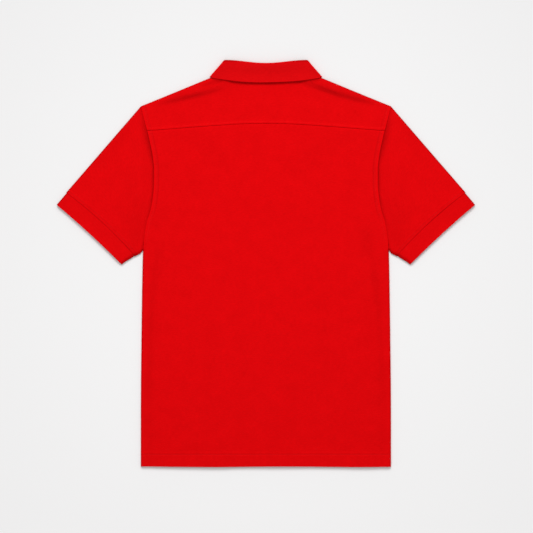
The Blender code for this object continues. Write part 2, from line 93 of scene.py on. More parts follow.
COLLAR_FOLD_HALF = 81.0
COLLAR_FOLD_DIP = 5.6
COLLAR_CORNER_ROUND = 2.5
COLLAR_EDGE_HALF = 105.0
COLLAR_EDGE_UP = 712.7
COLLAR_EDGE_CORNER_UP = 723.2
COLLAR_EDGE_RISE = 9.0
COLLAR_POINT = np.array((50.0, 628.0))
COLLAR_FRONT_FOLD_DROP = 72.0
COLLAR_BEND = 1.1
COLLAR_HOLLOW = 0.70
COLLAR_EDGE_LIFT = 1.7
COLLAR_CORNER_IN = 4.5
COLLAR_POINT_BOW = np.array((2.58, -1.5))

# How round the collar turns at the sides of the neck, and how far its rings stay clear
INNER_TURN = 1.6
OUTER_TURN = 3.7
COLLAR_CENTRE_GAP = 1.0
COLLAR_SEAM_GAP = 0.45
COLLAR_CORNER_GAP = 0.6
COLLAR_SIDE_GAP = 0.4
COLLAR_SEAM_IN = 3.0
COLLAR_SEAM_SHORT = 0.9
COLLAR_SEAM_TOP = 0.2
COLLAR_FOLD_IN = 1.6
COLLAR_FOLD_SHORT = 0.5
COLLAR_EDGE_GAP = 0.3

# Heights of the layers, how the placket and the collar's points lift them, and how far in from a
# rolled edge they come level
FRONT_Z = CLOTH / 2
BACK_Z = 4.1
FRONT_LIFT = 2.5
BACK_LIFT = 2.1
FRONT_FADE = 40.0
BACK_FADE = 80.0
LIFT_REACH = 110.0
LIFT_WIDENS_UP = 540.0
LIFT_WIDENS_OVER = 100.0
ROLL = 5.0

# Seams: how far an allowance reaches from its seam, how high it stands, how deep a seam sinks, and
# how far inside the allowance's own edge its rows of stitching lie
ALLOWANCE_RISE = 0.46
SEAM_SINK = 0.55
UNDERLAP = 4.5
UNDERLAP_DROP = 1.0
YOKE_ALLOWANCE = 4.4
ARMHOLE_ALLOWANCE = 8.6
BAND_ALLOWANCE = 5.6
BAND_RISE = 0.62
ROW_IN = 0.6
OUTER_ROW_IN = 3.4
STITCH_WIDTH = 0.8
HEM_STITCH_UP = 22.4
HEM_RIDGE_UP = 25.6
HEM_RISE = 0.32
HEM_FLARE = 0.45
HEM_STITCH_SINK = 0.42
STITCH_SINK = 0.26

# Where one layer goes under another, and how the sleeve's under layer shows past its upper one
LAYER_STEP = CLOTH + 0.1
CUFF_UNDERLAP_DROP = 0.85
PEEK = 2.4
UNDERARM_SAG = np.array((-1.3, -2.7))

# The sleeve's hollow beside the body's edge: a wide dip, and a narrow one at the seam itself
HOLLOW_DEPTH = 1.25
SEAM_DIP = 0.60
SEAM_DIP_WIDTH = 1.7

# Painted shade on the knit at edges, seams, stitching, hollows and the collar, and painted highlight on
# ridges
EDGE_SHADE = 0.44
EDGE_SHADE_WIDTH = 1.8
SEAM_SHADE = 0.10
INNER_ROW_SHADE = 0.19
OUTER_ROW_SHADE = 0.06
HEM_SHADE = 0.035
HOLLOW_SHADE = 0.34
BAND_SHADE = 0.16
CUFF_SEAM_SHADE = 0.42
CUFF_DARKENING = 0.010
COLLAR_SHADE = 0.30
COLLAR_FALL_SHADE = 0.045
RIDGE_HIGHLIGHT = 0.06

# A fold follows a path. depth lifts or sinks its line, the field after half_width is the painted
# shade that darkens the knit along it, and ledge is a step that stands higher on the path's left.
Fold = namedtuple("Fold", "path depth half_width press ledge", defaults=(0.0, 0.0))
FOLDS = (
    # hollows beside the rolled side edges
    Fold(((-203, 440), (-206, 375), (-213, 285), (-216, 190), (-218, 90)), -1.3, 6, 0.06),
    Fold(((-196, 420), (-199, 350), (-204, 300)), -0.6, 9, 0.03),
    Fold(((-219, 200), (-218, 90), (-214, -30)), -0.9, 9, 0.035),
    Fold(((186, 450), (198, 380), (210, 290), (215, 190), (216, 90)), -1.2, 6, 0.055),
    Fold(((198, 400), (204, 330), (209, 270)), -0.6, 9, 0.03),
    Fold(((216, 200), (217, 90), (215, -30)), -0.9, 9, 0.035),
    # sharp folds along the shoulders, higher beside the shoulder's edge
    Fold(((-218, 670), (-169, 680), (-141, 686.5), (-104, 696), (-50, 713)), -0.35, 4.6, 0.21, 0.75),
    Fold(((-160, 684), (-136, 688), (-112, 694)), -0.15, 3.6, 0.08, 0.25),
    Fold(((42, 721), (101, 703), (130, 692.5), (160, 684), (222, 670)), -0.35, 4.6, 0.25, 0.8),
    Fold(((92, 706), (116, 697), (142, 689)), -0.15, 3.6, 0.09, 0.25),
    Fold(((-122, 706), (-103, 712), (-76, 716)), -0.15, 2.6, 0.14, 0.2),
    Fold(((-200, 680), (-150, 698), (-90, 718)), 0, 8, 0.03),
    Fold(((80, 722), (150, 696), (215, 672)), 0, 9, 0.05),
    # drag folds from the armpits
    Fold(((-218, 430), (-200, 452), (-176, 486)), -0.6, 9, 0.03),
    Fold(((-214, 402), (-186, 380), (-160, 374)), -0.5, 9, 0.025),
    Fold(((178, 446), (186, 420), (184, 380)), -0.7, 12, 0.035),
    Fold(((214, 402), (188, 392), (168, 396)), -0.4, 9, 0.02),
    Fold(((-236, 438), (-244, 470), (-238, 505)), -0.6, 8, 0.03),
    Fold(((238, 436), (246, 470), (240, 500)), -0.55, 8, 0.03),
    Fold(((-240, 440), (-268, 462), (-296, 492)), -0.5, 9, 0.015),
    Fold(((242, 440), (270, 466), (300, 488)), -0.45, 9, 0.015),
    # along the sleeves' top folds
    Fold(((-238, 640), (-276, 600), (-338, 536)), -0.5, 8, 0.03),
    Fold(((238, 645), (286, 600), (348, 542)), -0.5, 7, 0.035),
    # wide, faint lying waves across the back
    Fold(((-150, 560), (-50, 566), (40, 590)), -0.3, 26),
    Fold(((10, 470), (90, 476), (170, 500)), 0.3, 30),
    Fold(((-120, 250), (0, 232), (120, 225)), -0.28, 34),
    Fold(((-170, 120), (-70, 128), (30, 150)), 0.3, 30),
    Fold(((40, 80), (110, 76), (190, 60)), -0.25, 22),
)

# The cloth's faint unevenness: each wave's length, direction in degrees, phase and height
WAVES = (
    (186, 12, 0.4, 0.20),
    (131, 74, 2.1, 0.16),
    (97, 141, 4.4, 0.12),
    (71, 38, 1.2, 0.08),
    (58, 103, 5.3, 0.06),
    (41, 165, 3.0, 0.04),
)

# ---- curves and heights


def ease(share):
    """A smooth step from 0 to 1."""
    share = np.clip(share, 0.0, 1.0)
    return share * share * (3 - 2 * share)


def line(off, width, strength=1.0):
    """A soft line: its strength on a curve, fading with the distance off it."""
    return strength * np.exp(-((off / width) ** 2))


def smooth_through(points, place):
    """The values at these places on a smooth curve through (place, value) pairs."""
    knots, values = np.array(points, float).T
    runs = np.diff(values) / np.diff(knots)
    before, after = runs[:-1], runs[1:]
    same = before * after > 0
    inner = np.where(same, 2 * before * after / np.where(same, before + after, 1.0), 0.0)
    slopes = np.concatenate([runs[:1], inner, runs[-1:]])
    place = np.clip(place, knots[0], knots[-1])
    first = np.clip(np.searchsorted(knots, place, side="right") - 1, 0, len(knots) - 2)
    span = knots[first + 1] - knots[first]
    share = (place - knots[first]) / span
    bend_in = share * (1 - share) ** 2 * span * slopes[first]
    bend_out = share**2 * (share - 1) * span * slopes[first + 1]
    return values[first] + (values[first + 1] - values[first]) * ease(share) + bend_in + bend_out


def body_edge(up):
    return smooth_through(BODY_SIDE, up) - CLOTH / 2


def shoulder_up(x):
    return SHOULDER_UP + (SHOULDER_HALF - np.abs(x)) * SHOULDER_SLOPE


def yoke_seam_up(x):
    return smooth_through(YOKE_SEAM, np.abs(x))


def back_neck_up(x):
    return NECK_CORNER_UP - BACK_NECK_DROP * (1 - (x / NECK_HALF) ** 2)


def front_neck_up(x):
    share = np.clip(np.abs(x) / NECK_HALF, 0, 1)
    return NECK_CORNER_UP - FRONT_NECK_DROP * np.sqrt(1 - share**2)


def front_neck_half(up):
    share = np.clip((NECK_CORNER_UP - up) / FRONT_NECK_DROP, 0.0, 1.0)
    return NECK_HALF * np.sqrt(1 - share**2)


def lifted(x, up, fade):
    """1 over the placket and the collar's points, which hold the cloth up, and 0 well clear of them."""
    widening = ease((up - LIFT_WIDENS_UP) / LIFT_WIDENS_OVER)
    reach = PLACKET_HALF + 4 + (LIFT_REACH - PLACKET_HALF) * widening
    across = ease((reach + fade - np.abs(x)) / fade)
    return across * ease((up - PLACKET_BOTTOM_UP) / fade + 1)


def beside(path, x, up):
    """How far along a path the nearest place on it lies, 0 to 1, and how far off, left positive."""
    path = np.array(path, float)
    steps = np.diff(path, axis=0)
    lengths = np.hypot(steps[:, 0], steps[:, 1])
    share = np.zeros(np.broadcast(x, up).shape)
    off = np.full(share.shape, 1e9)
    for start, step, length, before in zip(path, steps, lengths, np.cumsum(lengths) - lengths):
        run = step / length
        from_x, from_up = x - start[0], up - start[1]
        along = np.clip(from_x * run[0] + from_up * run[1], 0, length)
        left = run[0] * from_up - run[1] * from_x
        away = np.hypot(from_x - run[0] * along, from_up - run[1] * along)
        nearer = away < np.abs(off)
        share = np.where(nearer, (before + along) / lengths.sum(), share)
        off = np.where(nearer, np.copysign(away, left), off)
    return share, off


def fold_relief(x, up):
    """The height of the soft folds, and the painted shade that each puts on the knit along its line."""
    height = np.zeros(np.broadcast(x, up).shape)
    press = np.zeros(height.shape)
    for fold in FOLDS:
        share, off = beside(fold.path, x, up)
        ends = ease(3.0 * share) * ease(3.0 * (1 - share))
        crease = ends * line(off, fold.half_width)
        step = np.tanh(off / fold.half_width) * np.exp(-np.abs(off) / (10 * fold.half_width))
        height = height + fold.depth * crease + fold.ledge * ends * step
        press = press + fold.press * crease
    return height, press


def fold_height(x, up):
    return fold_relief(x, up)[0]


# Painted shade along the folds
def fold_shade(x, up):
    return fold_relief(x, up)[1]


def edge_shade(inside):
    """Painted shade along a fold's own edge, where the cloth turns under."""
    return line(inside, EDGE_SHADE_WIDTH, EDGE_SHADE)


def wave_height(x, up):
    """The cloth's faint unevenness where it lies."""
    total = np.zeros(np.broadcast(x, up).shape)
    for length, degrees, phase, height in WAVES:
        angle = math.radians(degrees)
        run = (x * math.cos(angle) + up * math.sin(angle)) * 2 * math.pi / length
        total = total + height * np.sin(run + phase + 0.9 * np.sin(run * 0.37 + phase * 2))
    return total


def pucker(along, off, height=0.10, reach=6.0):
    """Small gathers that the thread pulls along a seam."""
    gathers = np.sin(along * 0.70 + 1.4 * np.sin(along * 0.11)) + 0.5 * np.sin(along * 1.13 + 0.7)
    uneven = 0.65 + 0.35 * np.sin(along * 0.047 + 1.0)
    return height * gathers * uneven * line(off, reach)


def allowance(off, width, rise=ALLOWANCE_RISE):
    """A band beside a seam, lifted by the allowance under it and pulled in along its stitching."""
    band = rise * (1 - ease((off - width) / 1.8))
    return band - line(off - width + ROW_IN, STITCH_WIDTH, STITCH_SINK)


def outer_row(edge):
    """The groove of the armhole's second row of stitching, nearer its seam."""
    return line(edge - ARMHOLE_ALLOWANCE + OUTER_ROW_IN, STITCH_WIDTH, 0.8 * STITCH_SINK)


def hem_relief(up):
    """The turned hem: thicker below its raw edge, pulled in along its stitching, flared out below."""
    rise = HEM_RISE * (1 - ease((up - HEM_RIDGE_UP) / 2.6))
    flare = HEM_FLARE * (1 - ease(up / (HEM_STITCH_UP - 2)))
    return rise - line(up - HEM_STITCH_UP, 1.0, HEM_STITCH_SINK) + flare


def front_level(x, up):
    return FRONT_Z + FRONT_LIFT * lifted(x, up, FRONT_FADE)


def back_level(x, up):
    still = 1 - 0.5 * lifted(x, up, BACK_FADE)
    lying = BACK_Z + BACK_LIFT * lifted(x, up, BACK_FADE)
    return lying + fold_height(x, up) + wave_height(x, up) * still


def roll(distance):
    """0 at the fold on a layer's edge, and 1 where the layer has come level."""
    short = 1 - np.clip(distance / ROLL, 0.0, 1.0)
    return np.sqrt(1 - short**2)


def stack(x, up, z):
    """Points in metres, in the frame, from x, up and z."""
    x, up, z = np.broadcast_arrays(x, up, z)
    return np.stack([x, up - LENGTH / 2, z], axis=-1) * MM


# ---- spacing of points

FINE = (0.0, 0.25, 0.55, 0.95, 1.5, 2.2, 3.1, 4.2, 5.6, 7.4, 9.8, 13.0)


def spaced(start, end, step, fine_start=True, fine_end=True):
    """Places from start to end, close together beside the ends that are asked for."""
    fine = np.array([place for place in FINE if place < 0.45 * (end - start)])
    low = start + fine if fine_start else np.array([start])
    high = end - fine[::-1] if fine_end else np.array([end])
    count = max(int(round((high[0] - low[-1]) / step)), 1)
    middle = np.linspace(low[-1], high[0], count + 1)[1:-1]
    return np.concatenate([low, middle, high])


EDGE_REACH = 33.0
NOMINAL_HALF = 210.0
SETTLE_ROUNDS = 6
NEAR_EDGE = (0.0, 0.02, 0.3, 0.8, 1.5, 2.4, 3.6, ROLL, 6.6, 8.4, 10.4, 12.6, 15, 18, 21, 24, 27, 30)


def mirrored(half):
    """Columns on both sides of the centre line from those on one side, as (scale, shift)."""
    return np.array(half + [(0.0, 0.0)] + [(-scale, -shift) for scale, shift in reversed(half)]).T


def edge_columns(inner_step):
    """Columns of the body as (scale, shift): x is scale times (edge - EDGE_REACH), plus shift."""
    count = int(round((NOMINAL_HALF - EDGE_REACH) / inner_step))
    half = [(1.0, EDGE_REACH - step) for step in NEAR_EDGE]
    return mirrored(half + [(k / count, 0.0) for k in range(count, 0, -1)])


def settle(columns, row_up):
    """(x, up) grids where columns and rows cross, when each bends with the other."""
    scale, shift = columns
    up = row_up(np.zeros((1, len(scale))))
    for _ in range(SETTLE_ROUNDS):
        x = scale * (body_edge(up) - EDGE_REACH) + shift
        up = row_up(x)
    return x, up


# ---- materials


def feed(tree, socket, value):
    """Gives a socket a value, or links it to another node's output."""
    if isinstance(value, bpy.types.NodeSocket):
        tree.links.new(value, socket)
    else:
        socket.default_value = value


class Nodes:
    """Adds nodes to a material and wires them."""

    def __init__(self, name):
        self.material = bpy.data.materials.new(name)
        self.material.use_nodes = True
        self.tree = self.material.node_tree
        self.shader = self.tree.nodes["Principled BSDF"]

    def add(self, kind, inputs=(), **settings):
        node = self.tree.nodes.new(kind)
        for key, value in settings.items():
            setattr(node, key, value)
        for key, value in dict(inputs).items():
            feed(self.tree, node.inputs[key], value)
        return node

    def math(self, operation, first, second=0.0, third=0.0):
        return self.add("ShaderNodeMath", {0: first, 1: second, 2: third}, operation=operation).outputs[0]

    def noise(self, place, stretch, detail, roughness=0.5):
        stretched = self.add("ShaderNodeVectorMath", {0: place, 1: stretch}, operation="MULTIPLY")
        inputs = {"Vector": stretched.outputs[0], "Scale": 1.0, "Detail": detail, "Roughness": roughness}
        return self.add("ShaderNodeTexNoise", inputs, noise_dimensions="2D").outputs["Fac"]

    def blend(self, share, dark, light):
        inputs = {0: share, 6: (*dark, 1), 7: (*light, 1)}
        return self.add("ShaderNodeMix", inputs, data_type="RGBA").outputs[2]

    def set(self, **values):
        for key, value in values.items():
            feed(self.tree, self.shader.inputs[key.replace("_", " ")], value)


# How much of the knit's tone comes from its cells, fibres, streaks and patches, and where it starts
CELL_TONE = 0.34
FIBRE_TONE = 0.26
STREAK_TONE = 0.80
PATCH_TONE = 0.36
TONE_START = 0.385


def knit_material(name, dark, light, pitch, course, relief):
    """A knit: rows of small raised cells, set half a cell over in every other course."""
    nodes = Nodes(name)
    place = nodes.add("ShaderNodeAttribute", attribute_name="weave").outputs["Vector"]
    painted_shading = nodes.add("ShaderNodeAttribute", attribute_name="painted_shading").outputs["Fac"]
    split = nodes.add("ShaderNodeSeparateXYZ", {0: place})
    shake = nodes.math("MULTIPLY_ADD", nodes.noise(place, (0.35, 0.35, 1), 2.0), 0.9, -0.45)
    across = nodes.math("ADD", split.outputs["X"], shake)
    along = nodes.math("ADD", split.outputs["Y"], shake)
    wale = nodes.math("SINE", nodes.math("MULTIPLY", across, 2 * math.pi / pitch))
    row = nodes.math("SINE", nodes.math("MULTIPLY", along, math.pi / course))
    cells = nodes.math("MULTIPLY_ADD", nodes.math("MULTIPLY", wale, row), 0.5, 0.5)
    fibre = nodes.noise(place, (3.1, 3.1, 1), 3.0)
    streak = nodes.noise(place, (0.16, 0.52, 1), 4.0, 0.72)
    patch = nodes.noise(place, (0.034, 0.045, 1), 4.0, 0.6)
    height = nodes.math("MULTIPLY_ADD", fibre, 0.45, cells)
    bump = nodes.add("ShaderNodeBump", {"Strength": 1.0, "Distance": relief * MM, "Height": height})
    tone = nodes.math("MULTIPLY_ADD", cells, CELL_TONE, nodes.math("MULTIPLY", fibre, FIBRE_TONE))
    tone = nodes.math("MULTIPLY_ADD", streak, STREAK_TONE, tone)
    tone = nodes.math("MULTIPLY_ADD", patch, PATCH_TONE, nodes.math("SUBTRACT", tone, TONE_START))
    # The knit's colour, darkened by the painted shade and lightened by the painted highlight stored on each
    # point
    colours = {0: 1.0, 6: nodes.blend(tone, dark, light), 7: nodes.math("SUBTRACT", 1.0, painted_shading)}
    colour = nodes.add("ShaderNodeMix", colours, blend_type="MULTIPLY", data_type="RGBA").outputs[2]
    nodes.set(Base_Color=colour, Roughness=0.9, Normal=bump.outputs["Normal"])
    nodes.set(Sheen_Weight=0.01, Sheen_Roughness=0.5, Sheen_Tint=(1.0, 0.10, 0.10, 1.0))
    nodes.set(Specular_IOR_Level=0.02)
    return nodes.material


def thread_material(name, colour):
    """Twisted sewing thread."""
    nodes = Nodes(name)
    place = nodes.add("ShaderNodeTexCoord").outputs["Object"]
    twist = nodes.add("ShaderNodeTexWave", {"Vector": place, "Scale": 900.0, "Distortion": 2.0})
    twist = twist.outputs["Fac"]
    bump = nodes.add("ShaderNodeBump", {"Strength": 0.5, "Distance": 0.05 * MM, "Height": twist})
    shade = nodes.blend(twist, [c * 0.86 for c in colour], colour)
    nodes.set(Base_Color=shade, Roughness=0.6, Normal=bump.outputs["Normal"])
    nodes.set(Specular_IOR_Level=0.15)
    return nodes.material


def button_material(name, colour):
    """Dyed, polished plastic with faint clouding."""
    nodes = Nodes(name)
    place = nodes.add("ShaderNodeTexCoord").outputs["Object"]
    cloud = nodes.add("ShaderNodeTexNoise", {"Vector": place, "Scale": 260.0, "Detail": 2.0}).outputs["Fac"]
    shade = nodes.blend(cloud, [c * 0.8 for c in colour], colour)
    wear = nodes.math("MULTIPLY_ADD", cloud, 0.12, 0.22)
    nodes.set(Base_Color=shade, Roughness=wear, Coat_Weight=0.3)
    return nodes.material


def floor_material():
    """Matt paper, a little lighter towards the hem, where less of the light reaches it."""
    nodes = Nodes("paper_floor")
    place = nodes.add("ShaderNodeTexCoord").outputs["Object"]
    up = nodes.add("ShaderNodeSeparateXYZ", {0: place}).outputs["Y"]
    share = nodes.math("MULTIPLY_ADD", up, 1 / FLOOR_SPAN, 0.5)
    grain = nodes.add("ShaderNodeTexNoise", {"Vector": place, "Scale": 420.0, "Detail": 2.0}).outputs["Fac"]
    uneven = nodes.math("ADD", share, nodes.math("MULTIPLY_ADD", grain, 0.04, -0.02))
    colour = nodes.blend(uneven, FLOOR_AT_HEM, FLOOR_AT_COLLAR)
    nodes.set(Base_Color=colour, Roughness=0.95, Specular_IOR_Level=0.0)
    return nodes.material


CLOTH_DARK = (0.565, 0.0009, 0.0018)
CLOTH_LIGHT = (0.82, 0.0020, 0.0037)
COLLAR_DARK = (0.515, 0.0013, 0.0024)
COLLAR_LIGHT = (0.745, 0.0026, 0.0044)
THREAD_RED = (0.72, 0.006, 0.008)
BUTTON_RED = (0.56, 0.0030, 0.0045)
FLOOR_SPAN = 1.0
FLOOR_AT_HEM = (0.900, 0.894, 0.894)
FLOOR_AT_COLLAR = (0.772, 0.767, 0.768)

pique = knit_material("pique_knit", CLOTH_DARK, CLOTH_LIGHT, 1.25, 0.95, 0.16)
collar_knit = knit_material("flat_knit", COLLAR_DARK, COLLAR_LIGHT, 1.0, 1.6, 0.14)
thread = thread_material("sewing_thread", THREAD_RED)
button_plastic = button_material("button_plastic", BUTTON_RED)

# ---- making pieces


def grid_faces(rows, count, ring=True, keep=None):
    i, j = np.meshgrid(np.arange(rows - 1), np.arange(count if ring else count - 1), indexing="ij")
    after = (j + 1) % count
    faces = np.stack([i * count + j, i * count + after, (i + 1) * count + after, (i + 1) * count + j], -1)
    if keep is not None:
        faces = faces[keep[:, : faces.shape[1]]]
    return faces.reshape(-1, 4)


def mesh_from(name, points, faces, weave, press):
    """A smooth mesh that keeps each point's place in the knit and the painted shade or painted highlight on
    it.
    """
    used, index = np.unique(faces, return_inverse=True)
    faces = index.reshape(faces.shape)
    mesh = bpy.data.meshes.new(name)
    mesh.from_pydata(points[used].tolist(), [], faces.tolist())
    places = np.zeros((len(used), 3), np.float32)
    places[:, :2] = weave[used]
    mesh.attributes.new("weave", "FLOAT_VECTOR", "POINT").data.foreach_set("vector", places.ravel())
    painted_shading = np.ascontiguousarray(press[used], np.float32)
    mesh.attributes.new("painted_shading", "FLOAT", "POINT").data.foreach_set("value", painted_shading)
    mesh.shade_smooth()
    mesh.update()
    return mesh


def place_object(name, data):
    thing = bpy.data.objects.new(name, data)
    bpy.context.scene.collection.objects.link(thing)
    return thing


def add_piece(name, mesh, material, node=None):
    piece = place_object(name, mesh)
    mesh.materials.append(material)
    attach(piece, "root")
    if node:
        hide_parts(node)
    return piece


KNITS = {"cloth": pique, "collar_knit": collar_knit}


def cloth_piece(name, node, points, weave, thickness, press, ring=False, keep=None, slot="cloth"):
    """A sheet or tube of cloth from a grid of points, with its own thickness."""
    rows, count = points.shape[:2]
    faces = grid_faces(rows, count, ring, keep)
    painted_shading = np.broadcast_to(press, (rows, count)).ravel()
    mesh = mesh_from(name, points.reshape(-1, 3), faces, weave.reshape(-1, 2), painted_shading)
    piece = add_piece(name, mesh, KNITS[slot], node)
    wall = piece.modifiers.new("Cloth", "SOLIDIFY")
    wall.thickness = thickness * MM
    wall.offset = 0.0
    return piece


def panel(name, node, x, up, z, press=0.0, keep=None, thickness=CLOTH, sway=0.0):
    """A flat piece whose place in the knit is its place on the shirt before it sways up or down."""
    weave = np.stack(np.broadcast_arrays(x, up), -1)
    return cloth_piece(name, node, stack(x, up + sway, z), weave, thickness, press, keep=keep)


# ---- back


def back_relief(x, up):
    """The back's upper layer with its seams, hem and gathers."""
    seam = yoke_seam_up(x) - up
    edge = body_edge(up) - np.abs(x)
    z = back_level(x, up) - line(np.maximum(seam, 0), 1.7, SEAM_SINK)
    z = z - (UNDERLAP_DROP - SEAM_SINK) * ease(-seam / 1.2)
    z = z + pucker(x, seam, 0.07) * (seam > 0)
    above = ease((up - ARMPIT_UP) / 12) * ease(seam / 6)
    z = z + above * (allowance(edge, ARMHOLE_ALLOWANCE) + pucker(up, edge - 4, 0.05) - outer_row(edge))
    z = z + hem_relief(up) + pucker(x * 0.8, up - HEM_STITCH_UP, 0.07, 5.0)
    return z + 0.22 * np.sin(x * 0.041 + 1.1 * np.sin(x * 0.017)) * (1 - ease(up / 60))


def armhole_rows_shading(edge):
    """Painted shade along two rows of stitching beside the armhole, darker along the inner one, which is
    pulled in harder, and a painted highlight on the ridge beside the edge.
    """
    inner, outer = edge - ARMHOLE_ALLOWANCE + 0.5, edge - ARMHOLE_ALLOWANCE + OUTER_ROW_IN
    rows = line(inner, 1.0, INNER_ROW_SHADE) + line(outer, 0.9, OUTER_ROW_SHADE)
    return rows - line(edge - 2.4, 1.2, RIDGE_HIGHLIGHT)


# Painted shade and highlight on the back: shade along its folds, yoke seam, armhole stitching, hem
# stitching and rolled sides, and a highlight on the ridge beside the armhole
def back_shading(x, up):
    seam = yoke_seam_up(x) - up
    edge = body_edge(up) - np.abs(x)
    rows = armhole_rows_shading(edge) * ease((up - ARMPIT_UP - 40) / 60) * ease(seam / 6)
    hem = line(up - HEM_STITCH_UP, 1.3, HEM_SHADE)
    side = 0.6 * edge_shade(edge) * (1 - ease((up - ARMPIT_UP) / 6))
    return fold_shade(x, up) + line(seam, 0.8, SEAM_SHADE) + rows + hem + side


def side_rolled(x, up, upper, lower, on_top):
    """A body layer from the side seam, where it meets the other, to its own level."""
    middle = (upper + lower) / 2
    rim = middle + (SIDE_GAP / 2 if on_top else -SIDE_GAP / 2)
    inside = body_edge(up) - np.abs(x)
    rise = roll(inside + np.maximum(up - ARMPIT_UP, 0.0))
    return rim + ((upper if on_top else lower) - rim) * rise


BACK_STEP = 2.6
ARCH_FROM_UP = 540.0


def make_back():
    columns = edge_columns(BACK_STEP)
    levels = [
        spaced(0, HEM_STITCH_UP, 3.0),
        spaced(HEM_STITCH_UP, ARMPIT_UP, 4.4, fine_end=False)[1:],
        ARMPIT_UP + np.array([0.8, 1.8, 3.2, 5.0, 7.5, 10.5]),
        spaced(ARMPIT_UP + ARMPIT_ROUND, YOKE_SEAM_UP, 4.2, fine_start=False),
        YOKE_SEAM_UP + np.array([0.4, 0.9, 1.8, 3.0, UNDERLAP]),
    ]
    levels = np.concatenate(levels)[:, None]
    arch = ease((levels - ARCH_FROM_UP) / (YOKE_SEAM_UP - ARCH_FROM_UP))
    x, up = settle(columns, lambda x: levels + (yoke_seam_up(x) - YOKE_SEAM_UP) * arch)
    z = side_rolled(x, up, back_relief(x, up), front_level(x, up), True)
    wavy = 0.5 * np.sin(x * 0.023 + 0.8) * (1 - ease(up / 25))
    return panel("back_panel", "back", x, up, z, back_shading(x, up), sway=wavy)


# ---- yoke


def yoke_relief(x, up):
    seam = up - yoke_seam_up(x)
    edge = body_edge(up) - np.abs(x)
    z = back_level(x, up) + allowance(seam, YOKE_ALLOWANCE) - line(seam, 0.5, 0.15)
    z = z + pucker(x, seam, 0.06)
    return z + allowance(edge, ARMHOLE_ALLOWANCE) * ease((seam + 3) / 6) - outer_row(edge)


# Painted shade and highlight on the yoke: shade along its folds, shoulder edge and armhole stitching, a
# highlight on the ridge above its seam, and a painted shadow under the collar's edge
def yoke_shading(x, up, on_top):
    seam = up - yoke_seam_up(x)
    top_shading = fold_shade(x, up) - line(seam - 3.2, 1.1, RIDGE_HIGHLIGHT)
    top_shading = top_shading + 0.6 * armhole_rows_shading(body_edge(up) - np.abs(x)) * ease(seam / 3)
    collar_edge = COLLAR_EDGE_UP + COLLAR_EDGE_RISE * (x / COLLAR_EDGE_HALF) ** 2
    under_collar = line(collar_edge - 1.5 - up, 2.6, COLLAR_SHADE) * (np.abs(x) < 100)
    return edge_shade(shoulder_up(x) - up) + np.where(on_top, top_shading, 0.0) + under_collar


YOKE_STEP = 3.1
YOKE_SPANS = 14
YOKE_TOP_STEPS = np.array((13, 9.8, 7.4, 5.6, 4.2, 3.1, 2.2, 1.5, 0.95, 0.5, 0.2, 0.0))
YOKE_FRONT_STEPS = np.array((0.2, 0.5, 0.95, 1.5, 2.2, 3.1, 4.2, 5.6, 8, 12, 17, 22, FRONT_YOKE - 1))


def yoke_top_up(x):
    """The fold over the shoulder, or the back neckline between the shoulders."""
    return np.where(np.abs(x) < NECK_HALF, back_neck_up(x), shoulder_up(x) - CLOTH / 2)


def make_yoke():
    columns = edge_columns(YOKE_STEP)
    between = np.arange(1, YOKE_SPANS) / YOKE_SPANS
    share = np.concatenate([np.zeros(len(FINE)), between, np.ones(len(YOKE_TOP_STEPS))])[:, None]
    step = np.concatenate([FINE, FINE[-1] * (1 - 2 * between), -YOKE_TOP_STEPS])[:, None]
    over = YOKE_FRONT_STEPS[:, None] + CLOTH / 2
    back = settle(columns, lambda x: yoke_seam_up(x) * (1 - share) + yoke_top_up(x) * share + step)
    x, up = np.concatenate([back, settle(columns, lambda x: shoulder_up(x) - over)], axis=1)
    on_top = (np.arange(len(x)) < len(share))[:, None]
    opening = front_neck_half(up)
    x = np.where(~on_top & (np.abs(x) < opening), np.sign(x) * opening, x)
    upper, lower = yoke_relief(x, up), front_level(x, up)
    middle = (upper + lower) / 2
    at_neck = np.maximum(roll(yoke_top_up(x) - up), ease((NECK_HALF - np.abs(x)) / 6))
    at_shoulder = roll(shoulder_up(x) - CLOTH / 2 - up)
    rise = np.where(on_top & (np.abs(x) < NECK_HALF), at_neck, at_shoulder)
    z = middle + (np.where(on_top, upper, lower) - middle) * rise
    scale, shift = columns
    neck = np.abs(scale * (NOMINAL_HALF - EDGE_REACH) + shift) < NECK_HALF
    keep = on_top[1:] | ~(neck[:-1] | neck[1:])
    return panel("yoke_panel", "yoke", x, up, z, yoke_shading(x, up, on_top), keep)


# ---- front

FRONT_NEAR_EDGE = (0.0, 0.02, 0.4, 1.1, 2.2, 3.6, ROLL, 8, 12, 17, 22, 27)
FRONT_OUTER = 22
FRONT_INNER = 12
FRONT_STEP = 9.0
FRONT_LEVEL_UP = 588.0


def front_columns():
    """The front's columns, in the form that edge_columns gives, with fixed ones beside the slit."""
    half = [(1.0, EDGE_REACH - step) for step in FRONT_NEAR_EDGE]
    half += [(1 - k / FRONT_OUTER, FRONT_NECK_CORNER * k / FRONT_OUTER) for k in range(FRONT_OUTER)]
    half += [(0.0, place) for place in np.linspace(FRONT_NECK_CORNER, SLIT_HALF, FRONT_INNER + 1)]
    return mirrored(half + [(0.0, PLACKET_HALF / 2)])


def front_top_up(x):
    """The front's top edge: the neckline, then the seam that joins it to the yoke."""
    neckline = front_neck_up(np.maximum(np.abs(x), PLACKET_HALF))
    return np.where(np.abs(x) < FRONT_NECK_CORNER, neckline, shoulder_up(x) - FRONT_YOKE)


